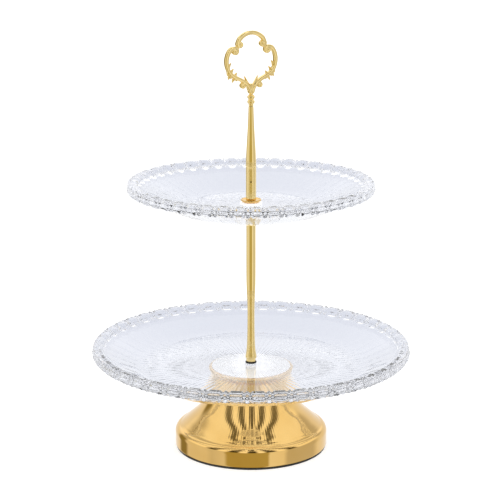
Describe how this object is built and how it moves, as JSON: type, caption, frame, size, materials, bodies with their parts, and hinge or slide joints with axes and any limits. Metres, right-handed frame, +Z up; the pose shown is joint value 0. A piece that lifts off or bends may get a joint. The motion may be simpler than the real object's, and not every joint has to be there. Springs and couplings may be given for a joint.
{
  "type": "tiered cake stand",
  "caption": "Tiered cake stand: round pressed-glass plates on a slim gilt column with a bell foot and an ornate ring handle.",
  "frame": {"origin": "centre of the foot pad's underside, on the surface the stand rests on", "axes": "+Z up along the column; the ring handle lies in the XZ plane"},
  "size_m": [0.25, 0.25, 0.3298],
  "materials": {
    "pad_black": "matt black felt-like rubber",
    "foot_gold": "polished gilt plate",
    "seat_gold": "polished gilt plate",
    "bolt_steel": "zinc-plated steel",
    "washer_steel": "zinc-plated steel",
    "lower_gasket_silicone": "translucent silicone",
    "lower_plate_glass": "clear pressed glass",
    "lower_bush_silicone": "translucent silicone",
    "lower_washer_rubber": "black rubber",
    "lower_rod_gold": "polished gilt plate",
    "stud_steel": "zinc-plated steel",
    "support_gold": "polished gilt plate",
    "upper_gasket_silicone": "translucent silicone",
    "upper_plate_glass": "clear pressed glass",
    "upper_bush_silicone": "translucent silicone",
    "top_gasket_silicone": "translucent silicone",
    "cup_gold": "polished gilt plate",
    "upper_rod_gold": "polished gilt plate",
    "insert_brass": "plain brass",
    "pin_steel": "plain steel",
    "handle_gold": "polished gilt plate"
  },
  "bodies": {
    "base": {"foot_pad": "pad_black", "foot_shell": "foot_gold", "foot_seat": "seat_gold", "foot_bolt": "bolt_steel", "foot_bolt_washer": "washer_steel", "lower_plate_bottom_gasket": "lower_gasket_silicone"},
    "lower_dish": {"lower_plate": "lower_plate_glass", "lower_plate_bush": "lower_bush_silicone"},
    "lower_washer": {"lower_plate_top_gasket": "lower_washer_rubber"},
    "lower_column": {"lower_rod": "lower_rod_gold", "middle_stud": "stud_steel", "upper_support_washer": "support_gold", "upper_plate_bottom_gasket": "upper_gasket_silicone"},
    "upper_dish": {"upper_plate": "upper_plate_glass", "upper_plate_bush": "upper_bush_silicone"},
    "upper_washer": {"upper_cup_washer": "cup_gold", "upper_plate_top_gasket": "top_gasket_silicone"},
    "upper_column": {"upper_rod": "upper_rod_gold", "upper_rod_insert": "insert_brass", "handle_pin": "pin_steel", "handle": "handle_gold"}
  },
  "joints": [
    {"name": "lower_plate_turn", "type": "hinge", "parent": "base", "child": "lower_dish", "pos_m": [0, 0, 0.0613], "axis": [0, 0, 1], "continuous": true},
    {"name": "lower_rod_lift", "type": "slide", "parent": "base", "child": "lower_washer", "axis": [0, 0, 1], "range_m": [0, 0.0084]},
    {"name": "lower_rod_unscrew", "type": "hinge", "parent": "lower_washer", "child": "lower_column", "pos_m": [0, 0, 0.069], "axis": [0, 0, 1], "range_deg": [0, 4320]},
    {"name": "upper_plate_turn", "type": "hinge", "parent": "lower_column", "child": "upper_dish", "pos_m": [0, 0, 0.1903], "axis": [0, 0, 1], "continuous": true},
    {"name": "upper_rod_lift", "type": "slide", "parent": "lower_column", "child": "upper_washer", "axis": [0, 0, 1], "range_m": [0, 0.0084]},
    {"name": "upper_rod_unscrew", "type": "hinge", "parent": "upper_washer", "child": "upper_column", "pos_m": [0, 0, 0.199], "axis": [0, 0, 1], "range_deg": [0, 4320]}
  ],
  "couplings": [
    {"joint": "lower_rod_unscrew", "follows": "lower_rod_lift", "rad_per_m": 8976},
    {"joint": "upper_rod_unscrew", "follows": "upper_rod_lift", "rad_per_m": 8976}
  ]
}
